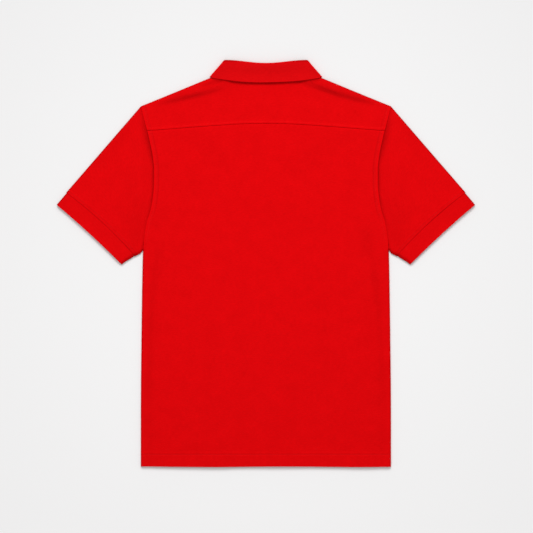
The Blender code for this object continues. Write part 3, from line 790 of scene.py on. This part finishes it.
def make_front():
    columns = front_columns()
    levels = [
        spaced(0, HEM_STITCH_UP, 4.0),
        spaced(HEM_STITCH_UP, PLACKET_BOTTOM_UP, FRONT_STEP, fine_end=False)[1:],
        np.arange(PLACKET_BOTTOM_UP + FRONT_STEP, FRONT_LEVEL_UP, FRONT_STEP),
    ]
    levels = np.concatenate(levels)[:, None]
    shares = np.linspace(0, 1, 13)[:, None]
    low = settle(columns, lambda x: levels + 0 * x)
    high = settle(columns, lambda x: FRONT_LEVEL_UP + (front_top_up(x) - FRONT_LEVEL_UP) * shares)
    x, up = np.concatenate([low, high], axis=1)
    z = side_rolled(x, up, back_level(x, up), front_level(x, up), False)
    beside_slit = np.abs(x[0]) < SLIT_HALF - 0.01
    in_slit = beside_slit[:-1] | beside_slit[1:]
    keep = (up[:-1, :1] < PLACKET_BOTTOM_UP - 0.01) | ~in_slit
    return panel("front_panel", "front", x, up, z, keep=keep)


# ---- sleeves and cuffs


def square_to(run):
    """The unit direction to the right of a run."""
    return np.array((run[1], -run[0])) / np.hypot(*run)


def bowed(start, end, share, bow):
    run = end - start
    share = np.asarray(share)[..., None]
    return start + run * share + square_to(run) * (4 * bow * share * (1 - share))


def armhole(share):
    top = SHOULDER_UP - CLOTH / 2
    up = top + (ARMPIT_UP - top) * share
    round_the_side = CLOTH / 2 * (1 - ease((up - ARMPIT_UP) / ARMPIT_ROUND))
    return np.stack([body_edge(up) + ARMHOLE_GAP + round_the_side, up], -1)


def band_seam(share):
    return bowed(BAND_SEAM_TOP, BAND_SEAM_LOW, share, BAND_SEAM_BOW)


def band_edge(share):
    return bowed(BAND_EDGE_TOP, BAND_EDGE_LOW, share, BAND_EDGE_BOW)


def band_distance(x, up):
    """How far inside the sleeve a place is from the seam of its band."""
    run = BAND_SEAM_LOW - BAND_SEAM_TOP
    inward = square_to(run)
    from_x, from_up = x - BAND_SEAM_TOP[0], up - BAND_SEAM_TOP[1]
    share = np.clip((from_x * run[0] + from_up * run[1]) / (run @ run), 0, 1)
    return from_x * inward[0] + from_up * inward[1] - 4 * BAND_SEAM_BOW * share * (1 - share)


TUBE_FINE = (0.0, 0.15, 0.45, 0.9, 1.6, 2.5, 3.6, ROLL, 7.0, 9.5)
TUBE_SPANS = 62


def tube_rows(sections, insets, level, peeks):
    """Rings round a flattened tube: each upper layer, then its lower one back to the first fold.

    Each section gives the plan place at a share of the way from the top fold to the low fold. The
    under layer peeks out past the upper one at the low fold.
    """
    points, weave, press = [], [], []
    fine, back = np.array(TUBE_FINE), slice(-2, 0, -1)
    for section, inset, peek in zip(sections, insets, peeks):
        start, middle, end = section(np.array((0.0, 0.5, 1.0)))
        length = np.hypot(*(end - start))
        inner = np.linspace(fine[-1], length - fine[-1], TUBE_SPANS + 1)[1:-1]
        places = np.concatenate([fine, inner, length - fine[::-1]])
        share = places / length
        plan = section(share) + (end - start) / length * inset * (1 - 2 * share[:, None])
        upper, lower = level(*plan.T)
        mean = (upper + lower) / 2
        rise = roll(np.minimum(places, np.maximum(length - places - peek, 0)))
        ledge = 0.75 * ease((peek - length + places) / 0.7) * ease(peek / 0.5)
        upper_z = mean + (upper - mean) * rise - (mean - lower) * ledge
        lower_z = mean + (lower - mean) * rise
        points.append(np.vstack([np.c_[plan, upper_z], np.c_[plan, lower_z][back]]))
        around = np.concatenate([places, 2 * length - places[back]])
        along = np.hypot(*(middle - sections[0](np.array(0.5))))
        weave.append(np.c_[around, np.full(len(around), along)])
        # painted shade along the tube's two folds
        edge = edge_shade(np.minimum(places, length - places))
        press.append(np.concatenate([edge, edge[back]]))
    return np.array(points), np.array(weave), np.array(press)


def armhole_depth(up):
    """How deep the sleeve sinks beside the body's edge: deepest over the shoulder blade."""
    return 0.30 + 0.70 * ease((up - 420) / 130) - 0.52 * ease((up - 606) / 52)


def armhole_width(up):
    """How wide that hollow is: it opens into a wedge below the shoulder."""
    return 3.8 + 4.4 * ease((up - 555) / 50) - 4.6 * ease((up - 622) / 46)


def sleeve_level(side, x, up):
    """A sleeve's two layers. Its armhole end goes under the body's back and over its front."""
    outside, away = x - body_edge(up), band_distance(x, up)
    hollow = line(outside, armhole_width(up), HOLLOW_DEPTH) + line(outside, SEAM_DIP_WIDTH, SEAM_DIP)
    upper = BACK_Z + fold_height(side * x, up) + 0.8 * wave_height(side * x + 400, up)
    upper = upper - armhole_depth(up) * hollow + pucker(up, outside, 0.06)
    upper = upper + allowance(away, BAND_ALLOWANCE, BAND_RISE) - line(away, 0.6, 0.12)
    upper = upper + pucker(up * 1.2, away, 0.05)
    lower = FRONT_Z + LAYER_STEP * (1 - ease((outside - 0.3) / 3.0))
    return np.maximum(upper, lower + LAYER_STEP), lower


# Painted shade on the sleeve along its folds, in the hollow beside the armhole, and along the band's seam
# and stitching
def sleeve_shading(side, x, up):
    hollow = armhole_depth(up) * line(x - body_edge(up), 1.1 * armhole_width(up), HOLLOW_SHADE)
    away = band_distance(x, up)
    band = line(away, 0.7, BAND_SHADE) + line(away - BAND_ALLOWANCE + ROW_IN, 1.0, BAND_SHADE)
    return fold_shade(side * x, up) + hollow + band


def cuff_level(side, x, up):
    """A band's two layers, pulled in at its seam. Its sewn end goes inside the sleeve."""
    away = -band_distance(x, up)
    past = np.maximum(away, 0)
    upper = BACK_Z + (CUFF_CLOTH - CLOTH) / 2 + 0.35 * wave_height(side * x + 90, up)
    upper = upper + 0.30 * np.exp(-past / 5) - line(past, 1.1, 0.75)
    upper = upper - CUFF_UNDERLAP_DROP * ease(-away / 1.2) + pucker(up * 1.2, away, 0.05)
    lower = CUFF_CLOTH / 2 + LAYER_STEP * (1 - ease((away - 0.2) / 2.5))
    return np.maximum(upper, lower + CUFF_CLOTH + 0.1), lower


def underarm_sag(across):
    """How far the under layer hangs out past the upper one along the underarm."""
    return ease((across - 0.94) / 0.06)[..., None] * UNDERARM_SAG


def sleeve_plan(along, across):
    """A place on the sleeve, from its armhole to its band. Before 0, it is under the body's edge."""
    if along < 0:
        return armhole(across) - (UNDERLAP, 0.0)
    sag = underarm_sag(across) * ease(along / 0.4)
    return armhole(across) * (1 - along) + band_seam(across) * along + sag


def cuff_plan(along, across):
    sag = underarm_sag(across) * (1 - ease(along / 0.9))
    return band_seam(across) * (1 - along) + band_edge(across) * along + sag


def tube_piece(name, node, side, rows, thickness, press):
    """The tube made of these rows, mirrored to its own side."""
    points, weave, edges = rows
    points = stack(side * points[..., 0], points[..., 1], points[..., 2])
    return cloth_piece(name, node, points, weave, thickness, edges + press, ring=True)


def make_sleeve(name, side):
    top_length = np.hypot(*(BAND_SEAM_TOP - armhole(0.0)))
    alongs = np.concatenate([[-1.0], spaced(0.0, top_length, 4.2) / top_length])
    sections = [partial(sleeve_plan, along) for along in alongs]
    insets, peeks = np.full(len(alongs), CLOTH / 2), PEEK * ease(alongs / 0.12)
    rows = tube_rows(sections, insets, partial(sleeve_level, side), peeks)
    points = rows[0]
    points[0, :, 2] = points[1, :, 2]
    press = sleeve_shading(side, points[..., 0], points[..., 1])
    return tube_piece("sleeve_shell_" + name, "sleeve_" + name, side, rows, CLOTH, press)


def make_cuff(name, side):
    under = (-UNDERLAP, -2.0, -0.6)
    alongs = np.concatenate([under, spaced(0.0, CUFF_DEPTH, 2.4)]) / CUFF_DEPTH
    sections = [partial(cuff_plan, along) for along in alongs]
    insets = CUFF_CLOTH / 2 + CUFF_INSET * (1 - alongs)
    rows = tube_rows(sections, insets, partial(cuff_level, side), np.full(len(alongs), PEEK))
    away = band_distance(rows[0][..., 0], rows[0][..., 1])
    # Painted shade along the band's seam, and the whole band a touch darker
    press = line(away, 1.1, CUFF_SEAM_SHADE) + CUFF_DARKENING
    return tube_piece("cuff_band_" + name, "cuff_" + name, side, rows, CUFF_CLOTH, press)


# ---- collar

Ring = namedtuple("Ring", "half turn back_z front_z back_up corner_up front_place")
COLLAR_FOLD_UP = LENGTH - COLLAR_BEND - COLLAR_CLOTH / 2
NECK_BACK_Z = BACK_Z + BACK_LIFT
NECK_FRONT_Z = FRONT_Z + FRONT_LIFT


def front_arc(half, drop, top, angle):
    """A place on an arc round the front of the neck, from beside its middle to its side."""
    out = COLLAR_CENTRE_GAP + (half - COLLAR_CENTRE_GAP) * math.sin(angle)
    return np.array((out, top - drop * math.cos(angle)))


def leaf_edge(angle):
    """A place on the collar's edge in front, from its point to its corner."""
    share = angle / math.radians(90)
    corner = np.array((COLLAR_EDGE_HALF - COLLAR_CORNER_IN, COLLAR_EDGE_UP + COLLAR_EDGE_RISE))
    return COLLAR_POINT * (1 - share) + corner * share + COLLAR_POINT_BOW * math.sin(math.pi * share)


def seam_back_up(share):
    return back_neck_up(share * NECK_HALF) + COLLAR_SEAM_GAP


def fold_back_up(share):
    return COLLAR_FOLD_UP - COLLAR_FOLD_DIP * (0.5 + 0.5 * math.cos(math.pi * share))


def edge_back_up(share):
    return COLLAR_EDGE_UP + COLLAR_EDGE_RISE * share * share


def collar_rings():
    """The collar's seam, the two sides of its fold, and its knit edge."""
    back_z, front_z, leaf_z = NECK_BACK_Z, NECK_FRONT_Z, COLLAR_CLOTH / 2
    fall_z = back_z + 2 * COLLAR_BEND
    edge_z = back_z + CLOTH / 2 + COLLAR_EDGE_GAP + COLLAR_CLOTH / 2
    seam_half, edge_half = NECK_HALF - COLLAR_SIDE_GAP, COLLAR_EDGE_HALF - COLLAR_CLOTH / 2
    outer_half = COLLAR_FOLD_HALF - COLLAR_CLOTH / 2
    inner_half = outer_half - 2 * COLLAR_BEND
    seam_up, fold_up = NECK_CORNER_UP + COLLAR_CORNER_GAP, COLLAR_FOLD_UP
    seam_drop, seam_top = FRONT_NECK_DROP - COLLAR_SEAM_SHORT, NECK_CORNER_UP + COLLAR_SEAM_TOP
    seam_arc = partial(front_arc, NECK_HALF - COLLAR_SEAM_IN, seam_drop, seam_top)
    fold_top = fold_up - COLLAR_FOLD_SHORT
    fold_arc = partial(front_arc, inner_half - COLLAR_FOLD_IN, COLLAR_FRONT_FOLD_DROP, fold_top)
    return (
        Ring(seam_half, INNER_TURN, back_z, front_z, seam_back_up, seam_up, seam_arc),
        Ring(inner_half, INNER_TURN, back_z, front_z, fold_back_up, fold_up, fold_arc),
        Ring(outer_half, OUTER_TURN, fall_z, leaf_z, fold_back_up, fold_up, fold_arc),
        Ring(edge_half, OUTER_TURN, edge_z, leaf_z, edge_back_up, COLLAR_EDGE_CORNER_UP, leaf_edge),
    )


def ring_place(ring, part, value, rounding):
    """A ring's point in front, round the side of the neck, or on the back."""
    middle = (ring.back_z + ring.front_z) / 2
    if part == "front":
        place = ring.front_place(math.radians(value))
        return np.array((place[0], place[1], ring.front_z))
    if part == "turn":
        angle = math.radians(value)
        x = ring.half - ring.turn * (1 - math.sin(angle))
        past = max(value - 90, 0) / 90
        up = ring.corner_up - rounding * (math.sin(angle) if value < 90 else 1 + past)
        return np.array((x, up, middle + (ring.back_z - middle) * math.cos(angle)))
    x = (ring.half - ring.turn) * value
    return np.array((x, ring.back_up(value), ring.back_z))


STAND_SHARES = np.linspace(0, 1, 11)
BEND_ANGLES = np.radians(np.linspace(0, 180, 13))[1:-1]
FALL_SHARES = np.concatenate([np.linspace(0, 0.94, 22), [0.97, 0.985, 1.0]])
COLLAR_STATIONS = (
    [("front", angle) for angle in np.linspace(0, 88, 34)]
    + [("turn", angle) for angle in np.linspace(172, 8, 22)]
    + [("back", share) for share in np.linspace(1, 0, 40)]
)
FALL_FROM_Z = 6.9


def collar_section(corners, hollow, edge_lift):
    """Up the stand, over the fold and down the fall, which is hollowed with its edge lifted."""
    seam, inner, outer, edge = corners
    away = (inner - seam) / np.linalg.norm(inner - seam)
    centre, half = (inner + outer) / 2, (outer - inner) / 2
    stand = [seam * (1 - share) + inner * share for share in STAND_SHARES]
    reach = away * np.linalg.norm(half)
    bend = [centre - half * math.cos(angle) + reach * math.sin(angle) for angle in BEND_ANGLES]
    fall = []
    for share in FALL_SHARES:
        point = outer * (1 - share) + edge * share
        point[2] += edge_lift * share**1.6 - hollow * math.sin(math.pi * share) ** 2
        fall.append(point)
    return np.array(stand + bend + fall)


def running(steps):
    """How far along a line each of its points is, from the steps between them."""
    return np.concatenate([[0], np.cumsum(steps)])


def make_collar():
    rings = collar_rings()
    rounding = (0.0, COLLAR_CORNER_ROUND, COLLAR_CORNER_ROUND, 0.0)
    rows = []
    for part, value in COLLAR_STATIONS:
        corners = [ring_place(ring, part, value, drop) for ring, drop in zip(rings, rounding)]
        middle = 1 - ease((value - 0.55) / 0.45) if part == "back" else 0.0
        rows.append(collar_section(corners, COLLAR_HOLLOW * middle, COLLAR_EDGE_LIFT * middle))
    half = np.array(rows)
    points = np.concatenate([half, half[-2::-1] * (-1, 1, 1)])
    x, up, z = np.moveaxis(points, -1, 0)
    on_fall = ease((z - FALL_FROM_Z) / 0.6)
    z = z + on_fall * 0.16 * np.sin(x * 0.09 + 0.9 * np.sin(x * 0.031)) * ease((735 - up) / 25)
    z = z + on_fall * 0.35 * wave_height(x * 1.6, up * 1.6)
    up = up + on_fall * 0.35 * np.sin(x * 0.052 + 0.6) * ease((722 - up) / 8)
    steps = np.linalg.norm(np.diff(points, axis=1), axis=-1)
    along = np.array([running(row) for row in steps])
    around = running(np.linalg.norm(np.diff(points[:, 20], axis=0), axis=-1))
    weave = np.stack([np.broadcast_to(around[:, None], along.shape), along], -1)
    # Painted shade in the hollow of the fall and along the collar's top fold
    press = on_fall * line(up - 735, 8.0, COLLAR_FALL_SHADE) + line(LENGTH - 0.5 - up, 2.4, EDGE_SHADE)
    points, slot = stack(x, up, z), "collar_knit"
    return cloth_piece(slot, "collar", points, weave, COLLAR_CLOTH, press, slot=slot)


# ---- placket and buttons

FACING_CLOTH = 1.1
FACING_PITCH = 1.5
FACING_GAP = 0.4
BUTTON_COUNT = 3
BUTTON_FIRST = 13.0
BUTTON_PITCH = 50.0
BUTTON_SEGMENTS = 48

# The turned button, from the middle of its dished face round to its back
BUTTON_RADII = (0.0, 3.1, 3.7, 4.1, 4.9, 5.5, 5.7, 5.5, 4.6, 2.5, 0.0)
BUTTON_HEIGHTS = (0.55, 0.55, 0.70, 0.15, 0.02, 0.30, 0.85, 1.45, 1.85, 2.0, 2.0)
HOLE_PLACE = 1.35
HOLE_RADII = (0.0, 0.75, 0.75, 0.0)
HOLE_HEIGHTS = (-1.0, -1.0, 3.0, 3.0)
HOLE_SEGMENTS = 16
SHARP_DEGREES = 40


def make_placket(name, node, middle_z):
    """A flat facing of doubled cloth, pulled in along the stitching beside its edges."""
    across = np.linspace(-1, 1, 23)[None, :]
    x = PLACKET_HALF * np.sign(across) * (1 - (1 - np.abs(across)) ** 1.25)
    up = spaced(PLACKET_BOTTOM_UP + FACING_GAP, PLACKET_TOP_UP - FACING_GAP, 3.0)[:, None]
    z = middle_z - line(PLACKET_HALF - np.abs(x) - 1.6, 0.5, 0.10) + 0.03 * np.sin(up * 0.6)
    return panel(name, node, x, up, z, thickness=FACING_CLOTH)


def turned_mesh(name, radii, heights, segments, centres, up):
    """Closed forms turned round these centres from a profile that starts and ends on its axis."""
    turns = [2 * math.pi * k / segments for k in range(segments)]
    walls = grid_faces(len(radii) - 2, segments)
    points, faces = [], []
    for x, y in centres:
        first = len(points)
        points.append((x, y, heights[0]))
        for radius, height in list(zip(radii, heights))[1:-1]:
            points += [(x + radius * math.cos(t), y + radius * math.sin(t), height) for t in turns]
        points.append((x, y, heights[-1]))
        faces += (walls + first + 1).tolist()
        last, rim = len(points) - 1, len(points) - 1 - segments
        for k in range(segments):
            after = (k + 1) % segments
            faces += [(first, first + 1 + after, first + 1 + k), (rim + k, rim + after, last)]
    mesh = bpy.data.meshes.new(name)
    mesh.from_pydata([[c * MM for c in point] for point in points], [], faces)
    mesh.shade_smooth()
    mesh.transform(Matrix.Translation((0, (up - LENGTH / 2) * MM, 0)))
    return mesh


def make_button(number, up):
    """A four-hole button, face down."""
    name, node = f"button_disc_{number}", f"button_{number}"
    disc = turned_mesh(name, BUTTON_RADII, BUTTON_HEIGHTS, BUTTON_SEGMENTS, [(0, 0)], up)
    piece = add_piece(name, disc, button_plastic, node)
    holes = [(x, y) for x in (-HOLE_PLACE, HOLE_PLACE) for y in (-HOLE_PLACE, HOLE_PLACE)]
    drills = turned_mesh("button_holes", HOLE_RADII, HOLE_HEIGHTS, HOLE_SEGMENTS, holes, up)
    cutter = place_object("button_holes", drills)
    cut = piece.modifiers.new("Holes", "BOOLEAN")
    cut.operation = "DIFFERENCE"
    cut.object = cutter
    graph = bpy.context.evaluated_depsgraph_get()
    done = bpy.data.meshes.new_from_object(piece.evaluated_get(graph))
    piece.modifiers.clear()
    piece.data = done
    bpy.data.objects.remove(cutter)
    done.set_sharp_from_angle(angle=math.radians(SHARP_DEGREES))


# ---- stitching

STITCH_LENGTH = 2.5
STITCH_PITCH = 3.1
THREAD_RADIUS = 0.21
STITCH_SIDES = 6
STITCH_RINGS = ((-0.5, 0.25), (-0.38, 0.85), (0.0, 1.0), (0.38, 0.85), (0.5, 0.25))
THREAD_DIP = 0.22
THREAD_SINK = 0.04
YOKE_STITCH_HALF = 216.0
HEM_STITCH_HALF = 229.0
ARMHOLE_STITCH_UP = (416.0, 667.0)
ARMHOLE_ROWS = (("inner", ARMHOLE_ALLOWANCE - ROW_IN), ("outer", ARMHOLE_ALLOWANCE - OUTER_ROW_IN))
SIDES = (("left", -1), ("right", 1))


def stitches(name, path):
    """One mesh of separate stitches along a path of points in millimetres."""
    run = running(np.linalg.norm(np.diff(path, axis=0), axis=1))
    count = int(run[-1] / STITCH_PITCH)
    centres = (np.arange(count) + 0.5) * run[-1] / count
    random = np.random.default_rng(len(name))
    length = STITCH_LENGTH * (1 + 0.06 * random.standard_normal(count))

    def at(place):
        return np.stack([np.interp(place, run, path[:, axis]) for axis in range(3)], -1)

    rings = []
    for share, swell in STITCH_RINGS:
        place = centres + share * length
        ahead = at(place + 0.5) - at(place - 0.5)
        ahead /= np.linalg.norm(ahead, axis=1, keepdims=True)
        side = np.cross(ahead, (0, 0, 1.0))
        side /= np.linalg.norm(side, axis=1, keepdims=True)
        rise = np.cross(side, ahead)
        middle = at(place) - rise * (THREAD_DIP * abs(2 * share) ** 3 + THREAD_SINK)
        for k in range(STITCH_SIDES):
            angle = 2 * math.pi * k / STITCH_SIDES
            out = side * math.cos(angle) * 1.25 + rise * math.sin(angle)
            rings.append(middle + out * THREAD_RADIUS * swell)
    points = np.array(rings).transpose(1, 0, 2)
    size = len(rings)
    first = np.arange(count)[:, None, None] * size
    quads = np.roll(grid_faces(len(STITCH_RINGS), STITCH_SIDES)[:, ::-1], 1, axis=1)
    quads = (quads + first).reshape(-1, 4)
    caps = np.array([range(STITCH_SIDES), range(size - 1, size - 1 - STITCH_SIDES, -1)])
    caps = (caps + first).reshape(-1, STITCH_SIDES)
    mesh = bpy.data.meshes.new(name)
    mesh.from_pydata((points.reshape(-1, 3) * MM).tolist(), [], quads.tolist() + caps.tolist())
    mesh.shade_smooth()
    add_piece(name, mesh, thread)


def on_cloth(x, up, z):
    """A thread's path lying on the outer face of a layer at this height."""
    return np.stack([x, up - LENGTH / 2, z + CLOTH / 2], -1)


def make_stitching():
    x = np.linspace(-YOKE_STITCH_HALF, YOKE_STITCH_HALF, 400)
    up = yoke_seam_up(x) + YOKE_ALLOWANCE - ROW_IN
    stitches("stitch_yoke", on_cloth(x, up, yoke_relief(x, up)))
    x = np.linspace(-HEM_STITCH_HALF, HEM_STITCH_HALF, 400)
    up = np.full_like(x, HEM_STITCH_UP)
    stitches("stitch_hem", on_cloth(x, up, back_relief(x, up)))
    lowest, highest = ARMHOLE_STITCH_UP
    seam_up = YOKE_SEAM[-1][1]
    on_back, on_yoke = np.linspace(lowest, seam_up - 0.5, 260), np.linspace(seam_up + 0.8, highest, 60)
    inward = square_to(BAND_SEAM_LOW - BAND_SEAM_TOP) * (BAND_ALLOWANCE - ROW_IN)
    band_x, band_up = (band_seam(np.linspace(0.025, 0.975, 260)) + inward).T
    for name, side in SIDES:
        for row, off in ARMHOLE_ROWS:
            path = []
            for up, relief in ((on_back, back_relief), (on_yoke, yoke_relief)):
                x = side * (body_edge(up) - off)
                path.append(on_cloth(x, up, relief(x, up)))
            stitches(f"stitch_armhole_{name}_{row}", np.concatenate(path))
        z = sleeve_level(side, band_x, band_up)[0]
        stitches(f"stitch_band_{name}", on_cloth(side * band_x, band_up, z))


# ---- the shirt

back = make_back()
yoke = make_yoke()
front = make_front()
sleeves = {name: make_sleeve(name, side) for name, side in SIDES}
cuffs = {name: make_cuff(name, side) for name, side in SIDES}
collar = make_collar()
placket_upper = make_placket("placket_face", "placket_upper", NECK_FRONT_Z)
placket_lower = make_placket("placket_under", "placket_lower", NECK_FRONT_Z + FACING_PITCH)
for number in range(BUTTON_COUNT):
    make_button(number + 1, PLACKET_TOP_UP - BUTTON_FIRST - number * BUTTON_PITCH)
make_stitching()

# ---- floor, light and camera

PIXELS = 533
MM_PER_PIXEL = 1.86
PHOTO_CENTRE = (265.9, 466.4)  # the shirt's centre line and its hem, in the photograph
VIEW_HEIGHT = 2.6
WORLD_STRENGTH = 0.54
FLOOR_SIZE = 8.0
FLOOR_Z = -0.00005


def make_floor():
    bpy.ops.mesh.primitive_plane_add(size=FLOOR_SIZE, location=(0, 0, FLOOR_Z))
    floor = bpy.context.object
    floor.name = "floor"
    floor.data.materials.append(floor_material())


def make_light(name, place, target, size, power):
    """A rectangular area light. Its places and sizes are in metres."""
    data = bpy.data.lights.new(name, "AREA")
    data.shape = "RECTANGLE"
    data.size, data.size_y = size
    data.energy = power
    light = place_object(name, data)
    light.location = place
    aim = Vector(target) - Vector(place)
    light.rotation_euler = aim.to_track_quat("-Z", "Y").to_euler()


def make_world(strength):
    world = bpy.data.worlds.new("studio")
    bpy.context.scene.world = world
    world.use_nodes = True
    background = world.node_tree.nodes["Background"]
    background.inputs["Color"].default_value = (1.0, 1.0, 1.0, 1.0)
    background.inputs["Strength"].default_value = strength


def make_camera():
    data = bpy.data.cameras.new("camera")
    camera = place_object("camera", data)
    half = PIXELS / 2
    x = (half - PHOTO_CENTRE[0]) * MM_PER_PIXEL
    up = (PHOTO_CENTRE[1] - half) * MM_PER_PIXEL
    camera.location = (x * MM, (up - LENGTH / 2) * MM, VIEW_HEIGHT)
    data.lens = data.sensor_width * VIEW_HEIGHT / (PIXELS * MM_PER_PIXEL * MM)
    bpy.context.scene.camera = camera


make_floor()
make_world(WORLD_STRENGTH)
make_light("key", place=(0, 4.2, 3.8), target=(0, 0, 0), size=(3.0, 2.4), power=215.0)
make_light("overhead", place=(0, 0.15, 1.0), target=(0, 0.15, 0), size=(0.5, 0.5), power=1.6)
make_camera()
bpy.context.scene.view_settings.view_transform = "Standard"
